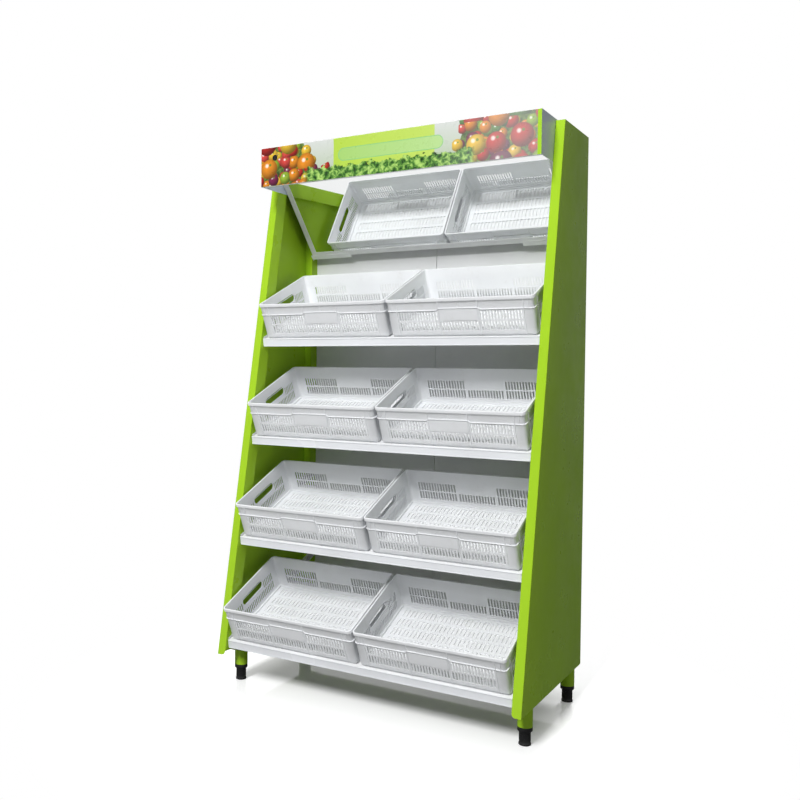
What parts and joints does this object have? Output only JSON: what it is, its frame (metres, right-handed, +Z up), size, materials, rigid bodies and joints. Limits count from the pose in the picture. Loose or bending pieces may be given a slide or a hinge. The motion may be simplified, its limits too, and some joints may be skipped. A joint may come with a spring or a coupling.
{
  "type": "market crate display stand",
  "caption": "Free-standing greengrocer's display stand with sloping sides, tilted trays of vented produce crates, a leaning mirror and a printed header box.",
  "frame": {"origin": "on the floor, under the middle of the stand's bounding box", "axes": "+Z up, +Y towards the back panel, +X to the stand's right as seen from the front"},
  "size_m": [1.2, 0.6778, 2.077],
  "materials": {
    "green_paint": "yellow-green powder coat, satin with a fine orange peel",
    "white_paint": "white powder coat, satin",
    "grey_paint": "blue-grey powder coat, satin",
    "ticket_strip": "white extruded plastic, glossy",
    "crate_plastic": "white injection-moulded plastic, semi-matt",
    "mirror_glass": "clear silvered glass",
    "backing_board": "dark rigid foam board",
    "black_plastic": "black moulded nylon, matt",
    "switch_plastic": "black moulded plastic, semi-gloss",
    "black_rubber": "black rubber, matt",
    "lamp_diffuser": "frosted white tube",
    "lamp_plastic": "white moulded plastic",
    "print_film": "printed film on a thin board, satin",
    "screw_steel": "zinc-plated steel"
  },
  "bodies": {
    "stand": {"side_panel_left": "green_paint", "side_panel_right": "green_paint", "upright_left": "green_paint", "upright_right": "green_paint", "base_rail_left": "green_paint", "base_rail_right": "green_paint", "base_crossbar_front": "green_paint", "base_crossbar_rear": "green_paint", "top_crossbar": "green_paint", "leg_front_left": "green_paint", "leg_front_right": "green_paint", "leg_rear_left": "green_paint", "leg_rear_right": "green_paint", "shelf_tray_1": "white_paint", "shelf_tray_2": "white_paint", "shelf_tray_3": "white_paint", "shelf_tray_4": "white_paint", "tray_arms_1": "white_paint", "tray_arms_2": "white_paint", "tray_arms_3": "white_paint", "tray_arms_4": "white_paint", "back_panel_left": "white_paint", "back_panel_right": "white_paint", "back_seam_strip": "white_paint", "header_shell": "white_paint", "mirror_frame": "white_paint", "mirror_bracket_left": "white_paint", "mirror_bracket_right": "white_paint", "lamp_housing": "white_paint", "top_cover": "white_paint", "header_end_left": "grey_paint", "header_end_right": "grey_paint", "price_rail_1": "ticket_strip", "price_rail_2": "ticket_strip", "price_rail_3": "ticket_strip", "price_rail_4": "ticket_strip", "mirror_glass": "mirror_glass", "mirror_backing": "backing_board", "leg_collars": "black_plastic", "switch_bezel": "switch_plastic", "cable_grommet": "black_rubber", "lamp_tube": "lamp_diffuser", "lampholders": "lamp_plastic", "fascia_print": "print_film", "arm_screws": "screw_steel", "back_panel_screws": "screw_steel", "header_screws": "screw_steel"},
    "crate_1_left_body": {"crate_1_left": "crate_plastic"},
    "crate_1_right_body": {"crate_1_right": "crate_plastic"},
    "crate_2_left_body": {"crate_2_left": "crate_plastic"},
    "crate_2_right_body": {"crate_2_right": "crate_plastic"},
    "crate_3_left_body": {"crate_3_left": "crate_plastic"},
    "crate_3_right_body": {"crate_3_right": "crate_plastic"},
    "crate_4_left_body": {"crate_4_left": "crate_plastic"},
    "crate_4_right_body": {"crate_4_right": "crate_plastic"},
    "levelling_foot_front_left_body": {"levelling_foot_front_left": "black_plastic"},
    "levelling_foot_front_right_body": {"levelling_foot_front_right": "black_plastic"},
    "levelling_foot_rear_left_body": {"levelling_foot_rear_left": "black_plastic"},
    "levelling_foot_rear_right_body": {"levelling_foot_rear_right": "black_plastic"},
    "switch_rocker_body": {"switch_rocker": "switch_plastic"}
  },
  "joints": [
    {"name": "crate_1_left_lift_out", "type": "slide", "parent": "stand", "child": "crate_1_left_body", "axis": [0, -0.9848, 0.1736], "range_m": [0, 0.52]},
    {"name": "crate_1_right_lift_out", "type": "slide", "parent": "stand", "child": "crate_1_right_body", "axis": [0, -0.9848, 0.1736], "range_m": [0, 0.52]},
    {"name": "crate_2_left_lift_out", "type": "slide", "parent": "stand", "child": "crate_2_left_body", "axis": [0, -0.9848, 0.1736], "range_m": [0, 0.52]},
    {"name": "crate_2_right_lift_out", "type": "slide", "parent": "stand", "child": "crate_2_right_body", "axis": [0, -0.9848, 0.1736], "range_m": [0, 0.52]},
    {"name": "crate_3_left_lift_out", "type": "slide", "parent": "stand", "child": "crate_3_left_body", "axis": [0, -0.9848, 0.1736], "range_m": [0, 0.52]},
    {"name": "crate_3_right_lift_out", "type": "slide", "parent": "stand", "child": "crate_3_right_body", "axis": [0, -0.9848, 0.1736], "range_m": [0, 0.52]},
    {"name": "crate_4_left_lift_out", "type": "slide", "parent": "stand", "child": "crate_4_left_body", "axis": [0, -0.9848, 0.1736], "range_m": [0, 0.52]},
    {"name": "crate_4_right_lift_out", "type": "slide", "parent": "stand", "child": "crate_4_right_body", "axis": [0, -0.9848, 0.1736], "range_m": [0, 0.52]},
    {"name": "levelling_foot_front_left_screw", "type": "slide", "parent": "stand", "child": "levelling_foot_front_left_body", "axis": [0, 0, 1], "range_m": [-0.025, 0]},
    {"name": "levelling_foot_front_right_screw", "type": "slide", "parent": "stand", "child": "levelling_foot_front_right_body", "axis": [0, 0, 1], "range_m": [-0.025, 0]},
    {"name": "levelling_foot_rear_left_screw", "type": "slide", "parent": "stand", "child": "levelling_foot_rear_left_body", "axis": [0, 0, 1], "range_m": [-0.025, 0]},
    {"name": "levelling_foot_rear_right_screw", "type": "slide", "parent": "stand", "child": "levelling_foot_rear_right_body", "axis": [0, 0, 1], "range_m": [-0.025, 0]},
    {"name": "switch_rocker_tilt", "type": "hinge", "parent": "stand", "child": "switch_rocker_body", "pos_m": [-0.5015, -0.09214, 2.03497], "axis": [0, 0, 1], "range_deg": [0, 16]}
  ]
}
